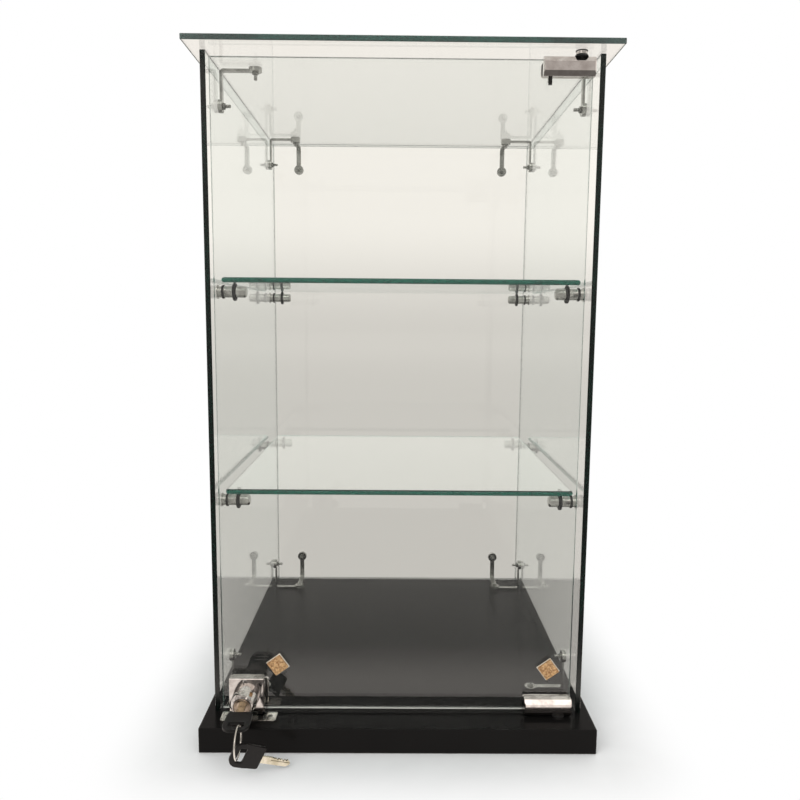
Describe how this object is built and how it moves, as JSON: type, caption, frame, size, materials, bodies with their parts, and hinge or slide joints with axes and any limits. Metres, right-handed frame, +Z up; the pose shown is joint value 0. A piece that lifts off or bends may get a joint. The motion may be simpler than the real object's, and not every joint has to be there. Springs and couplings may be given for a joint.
{
  "type": "countertop display case",
  "caption": "Glass countertop display case on a black board, with glass shelves on pins and a hinged, lockable glass door.",
  "frame": {"origin": "centre of the underside of the base board", "axes": "+X right as seen from the front, +Y towards the back, +Z up; the door is on the -Y side"},
  "size_m": [0.383, 0.4645, 0.654],
  "materials": {
    "glass": "clear float glass with green ground edges",
    "laminate": "black satin laminate on chipboard",
    "chrome": "polished",
    "bracket_chrome": "plated strip",
    "steel": "zinc plated",
    "nickel": "nickel plated",
    "key_metal": "nickel plated brass",
    "black_metal": "black",
    "rubber": "matte",
    "black_plastic": "moulded, slightly worn",
    "cork": "pressed cork",
    "film": "adhesive film"
  },
  "bodies": {
    "case": {"base_board": "laminate", "left_side_glass": "glass", "right_side_glass": "glass", "back_glass": "glass", "top_glass": "glass", "upper_shelf": "glass", "lower_shelf": "glass", "upper_shelf_pins": "chrome", "lower_shelf_pins": "chrome", "upper_support_rings": "rubber", "lower_support_rings": "rubber", "upper_stop_rings": "rubber", "lower_stop_rings": "rubber", "side_brackets_top": "bracket_chrome", "side_brackets_base": "bracket_chrome", "back_brackets_top": "bracket_chrome", "back_brackets_base": "bracket_chrome", "side_studs": "steel", "back_studs": "steel", "top_studs": "steel", "bracket_nuts": "steel", "base_screws": "steel", "upper_pivot_pad": "rubber", "upper_pivot_cup": "chrome", "lower_pivot_bush": "steel", "strike_plate": "nickel", "strike_screws": "steel"},
    "door": {"door_glass": "glass", "upper_hinge_block": "chrome", "upper_hinge_pads": "rubber", "upper_hinge_plate": "steel", "upper_hinge_screws": "steel", "upper_set_screw": "steel", "upper_pivot_pin": "steel", "upper_washer": "black_plastic", "lower_hinge_block": "chrome", "lower_hinge_pads": "rubber", "lower_hinge_plate": "steel", "lower_hinge_screws": "steel", "lower_pivot_pin": "steel", "lower_washer": "black_plastic", "lock_housing": "chrome", "lock_pads": "rubber", "lock_plate": "steel", "lock_screws": "steel", "cork_film": "film", "cork_pads": "cork"},
    "bolt": {"lock_bolt": "black_metal"},
    "key": {"lock_core": "nickel", "key_blade": "key_metal", "key_head": "black_plastic"},
    "ring": {"key_ring": "nickel"},
    "spare": {"spare_key_blade": "key_metal", "spare_key_head": "black_plastic"}
  },
  "joints": [
    {"name": "door_swing", "type": "hinge", "parent": "case", "child": "door", "pos_m": [0.1575, -0.1753, 0.3], "axis": [0, 0, 1], "range_deg": [0, 110]},
    {"name": "lock_turn", "type": "hinge", "parent": "door", "child": "key", "pos_m": [-0.1475, -0.19, 0.0479], "axis": [0, -1, 0], "range_deg": [0, 90]},
    {"name": "bolt_slide", "type": "slide", "parent": "door", "child": "bolt", "axis": [0, 0, -1], "range_m": [0, 0.006]},
    {"name": "ring_swing", "type": "hinge", "parent": "key", "child": "ring", "pos_m": [-0.1433, -0.239, 0.0495], "axis": [0, -1, 0], "range_deg": [0, 20]},
    {"name": "spare_swing", "type": "hinge", "parent": "ring", "child": "spare", "pos_m": [-0.1433, -0.2405, 0.0224], "axis": [0, -1, 0], "range_deg": [0, 25]}
  ],
  "couplings": [
    {"joint": "bolt_slide", "follows": "lock_turn", "m_per_rad": 0.0038}
  ]
}
